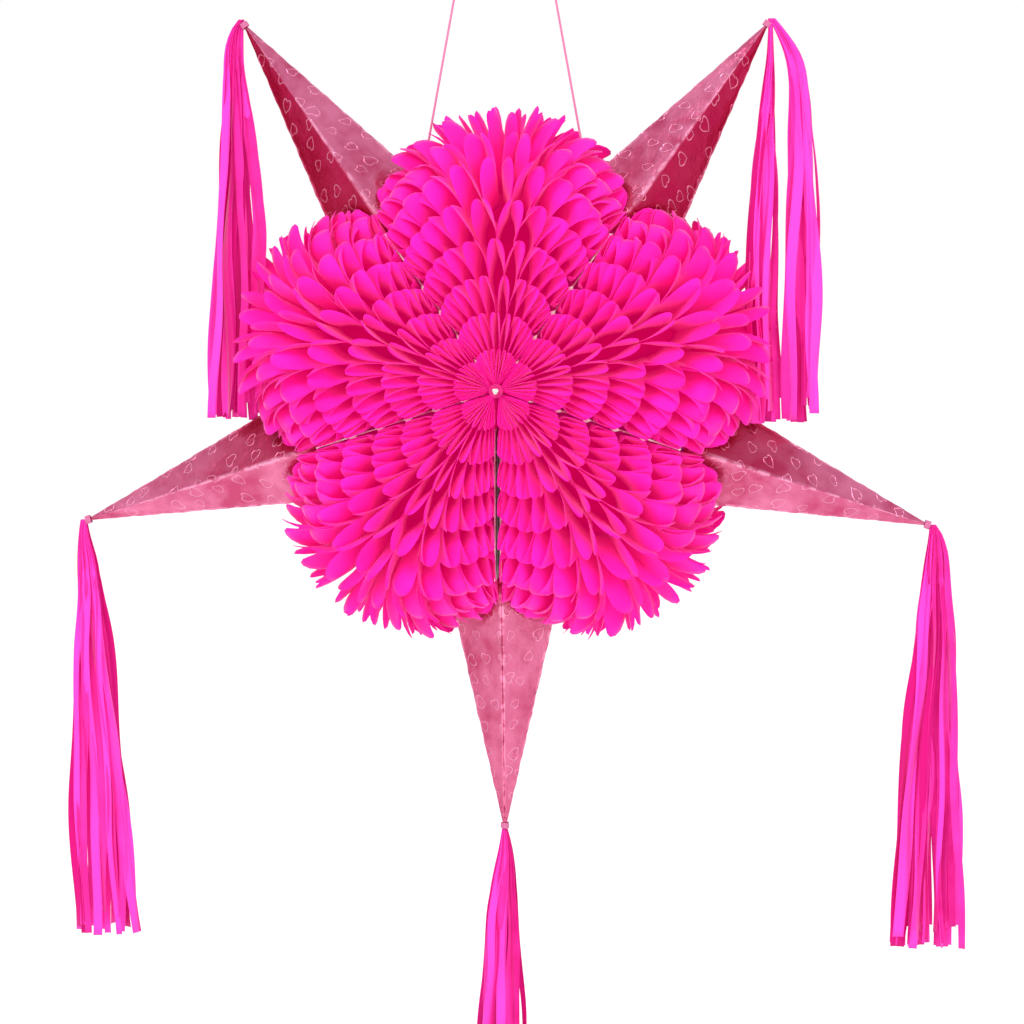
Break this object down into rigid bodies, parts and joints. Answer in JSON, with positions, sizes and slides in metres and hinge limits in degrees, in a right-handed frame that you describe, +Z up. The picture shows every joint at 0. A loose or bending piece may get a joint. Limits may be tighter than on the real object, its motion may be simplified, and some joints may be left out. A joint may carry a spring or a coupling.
{
  "type": "pinata",
  "caption": "Hanging star pinata with honeycomb tissue lobes between hollow foil cones, tissue tassels on the tips and a string; folds flat like a fan.",
  "frame": {"origin": "the knot at the top of the hanging loop, where the string passes over whatever holds it", "axes": "+Z up, +X to the viewer's right, the front faces -Y"},
  "size_m": [0.656, 0.1736, 1.033],
  "materials": {
    "tissue": "thin matt tissue paper",
    "foil": "metallic foil-covered card, embossed",
    "card": "white paperboard",
    "thread": "twisted cotton thread",
    "cotton": "white cotton knot or paper-backed strip"
  },
  "bodies": {
    "hanger": {"hanging_knot": "thread", "hanging_string_left": "thread", "hanging_string_right": "thread", "spine_tube": "card", "spine_knot_front": "cotton", "spine_knot_back": "cotton", "honeycomb_lobe_top": "tissue"},
    "top_left_segment": {"foil_cone_top_left": "foil", "seam_board_top_left": "card", "string_anchor_left": "thread"},
    "top_right_segment": {"foil_cone_top_right": "foil", "seam_board_top_right": "card", "string_anchor_right": "thread", "honeycomb_lobe_upper_right": "tissue"},
    "right_segment": {"foil_cone_right": "foil", "seam_board_right": "card", "honeycomb_lobe_lower_right": "tissue"},
    "bottom_right_cover": {"foil_half_cone_bottom_right": "foil", "closing_board_right": "card", "closing_strip_right": "cotton"},
    "left_segment": {"foil_cone_left": "foil", "seam_board_left": "card", "honeycomb_lobe_upper_left": "tissue"},
    "bottom_left_cover": {"foil_half_cone_bottom_left": "foil", "closing_board_left": "card", "closing_strip_left": "cotton", "honeycomb_lobe_lower_left": "tissue"},
    "fill_flap": {"fill_flap": "foil"},
    "tie_top_left": {"tassel_tie_top_left": "thread"},
    "tassel_top_left": {"tassel_top_left": "tissue"},
    "tie_top_right": {"tassel_tie_top_right": "thread"},
    "tassel_top_right": {"tassel_top_right": "tissue"},
    "tie_right": {"tassel_tie_right": "thread"},
    "tassel_right": {"tassel_right": "tissue"},
    "tie_bottom": {"tassel_tie_bottom": "thread"},
    "tassel_bottom": {"tassel_bottom": "tissue"},
    "tie_left": {"tassel_tie_left": "thread"},
    "tassel_left": {"tassel_left": "tissue"}
  },
  "joints": [
    {"name": "fan_fold", "type": "hinge", "parent": "hanger", "child": "top_right_segment", "pos_m": [0, 0, -0.394], "axis": [0, -1, 0], "range_deg": [0, 32.4], "deforming": ["honeycomb_lobe_top", "foil_cone_top_right", "hanging_string_right", "string_anchor_right"]},
    {"name": "fan_fold_top_left", "type": "hinge", "parent": "hanger", "child": "top_left_segment", "pos_m": [0, 0, -0.394], "axis": [0, 1, 0], "range_deg": [0, 32.4], "deforming": ["honeycomb_lobe_top", "foil_cone_top_left", "hanging_string_left", "string_anchor_left", "fill_flap"]},
    {"name": "fan_fold_right", "type": "hinge", "parent": "top_right_segment", "child": "right_segment", "pos_m": [0, 0, -0.394], "axis": [0, -1, 0], "range_deg": [0, 64.8], "deforming": ["honeycomb_lobe_upper_right", "foil_cone_right"]},
    {"name": "fan_fold_bottom_right", "type": "hinge", "parent": "right_segment", "child": "bottom_right_cover", "pos_m": [0, 0, -0.394], "axis": [0, -1, 0], "range_deg": [0, 64.8], "deforming": ["honeycomb_lobe_lower_right", "foil_half_cone_bottom_right"]},
    {"name": "fan_fold_left", "type": "hinge", "parent": "top_left_segment", "child": "left_segment", "pos_m": [0, 0, -0.394], "axis": [0, 1, 0], "range_deg": [0, 64.8], "deforming": ["honeycomb_lobe_upper_left", "foil_cone_left"]},
    {"name": "fan_fold_bottom_left", "type": "hinge", "parent": "left_segment", "child": "bottom_left_cover", "pos_m": [0, 0, -0.394], "axis": [0, 1, 0], "range_deg": [0, 64.8], "deforming": ["honeycomb_lobe_lower_left", "foil_half_cone_bottom_left"]},
    {"name": "lay_tassel_top_left", "type": "hinge", "parent": "top_left_segment", "child": "tie_top_left", "pos_m": [-0.19162, 0, -0.13026], "axis": [0, -1, 0], "range_deg": [-144, 0], "deforming": ["tassel_top_left"]},
    {"name": "lay_tassel_top_right", "type": "hinge", "parent": "top_right_segment", "child": "tie_top_right", "pos_m": [0.19162, 0, -0.13026], "axis": [0, -1, 0], "range_deg": [0, 144], "deforming": ["tassel_top_right"]},
    {"name": "lay_tassel_right", "type": "hinge", "parent": "right_segment", "child": "tie_right", "pos_m": [0.31004, 0, -0.49474], "axis": [0, -1, 0], "range_deg": [0, 72], "deforming": ["tassel_right"]},
    {"name": "lay_tassel_bottom", "type": "hinge", "parent": "bottom_left_cover", "child": "tie_bottom", "pos_m": [0, 0, -0.72], "axis": [0, -1, 0], "range_deg": [-60, 60], "deforming": ["tassel_bottom"]},
    {"name": "lay_tassel_left", "type": "hinge", "parent": "left_segment", "child": "tie_left", "pos_m": [-0.31004, 0, -0.49474], "axis": [0, -1, 0], "range_deg": [-72, 0], "deforming": ["tassel_left"]},
    {"name": "swing_tassel_top_left", "type": "hinge", "parent": "tie_top_left", "child": "tassel_top_left", "pos_m": [-0.19162, 0, -0.13026], "axis": [1, 0, 0], "range_deg": [-35, 35]},
    {"name": "swing_tassel_top_right", "type": "hinge", "parent": "tie_top_right", "child": "tassel_top_right", "pos_m": [0.19162, 0, -0.13026], "axis": [1, 0, 0], "range_deg": [-35, 35]},
    {"name": "swing_tassel_right", "type": "hinge", "parent": "tie_right", "child": "tassel_right", "pos_m": [0.31004, 0, -0.49474], "axis": [1, 0, 0], "range_deg": [-35, 35]},
    {"name": "swing_tassel_bottom", "type": "hinge", "parent": "tie_bottom", "child": "tassel_bottom", "pos_m": [0, 0, -0.72], "axis": [1, 0, 0], "range_deg": [-35, 35]},
    {"name": "swing_tassel_left", "type": "hinge", "parent": "tie_left", "child": "tassel_left", "pos_m": [-0.31004, 0, -0.49474], "axis": [1, 0, 0], "range_deg": [-35, 35]},
    {"name": "flap_hinge", "type": "hinge", "parent": "top_left_segment", "child": "fill_flap", "pos_m": [-0.11287, 0.02209, -0.23361], "axis": [-0.6527, -0.1092, 0.7497], "range_deg": [0, 100]}
  ],
  "couplings": [
    {"joint": "fan_fold_top_left", "follows": "fan_fold", "ratio": 1},
    {"joint": "fan_fold_right", "follows": "fan_fold", "ratio": 2},
    {"joint": "fan_fold_bottom_right", "follows": "fan_fold", "ratio": 2},
    {"joint": "fan_fold_left", "follows": "fan_fold", "ratio": 2},
    {"joint": "fan_fold_bottom_left", "follows": "fan_fold", "ratio": 2},
    {"joint": "lay_tassel_top_left", "follows": "fan_fold", "ratio": -4.4444},
    {"joint": "lay_tassel_top_right", "follows": "fan_fold", "ratio": 4.4444},
    {"joint": "lay_tassel_right", "follows": "fan_fold", "ratio": 2.2222},
    {"joint": "lay_tassel_left", "follows": "fan_fold", "ratio": -2.2222}
  ]
}
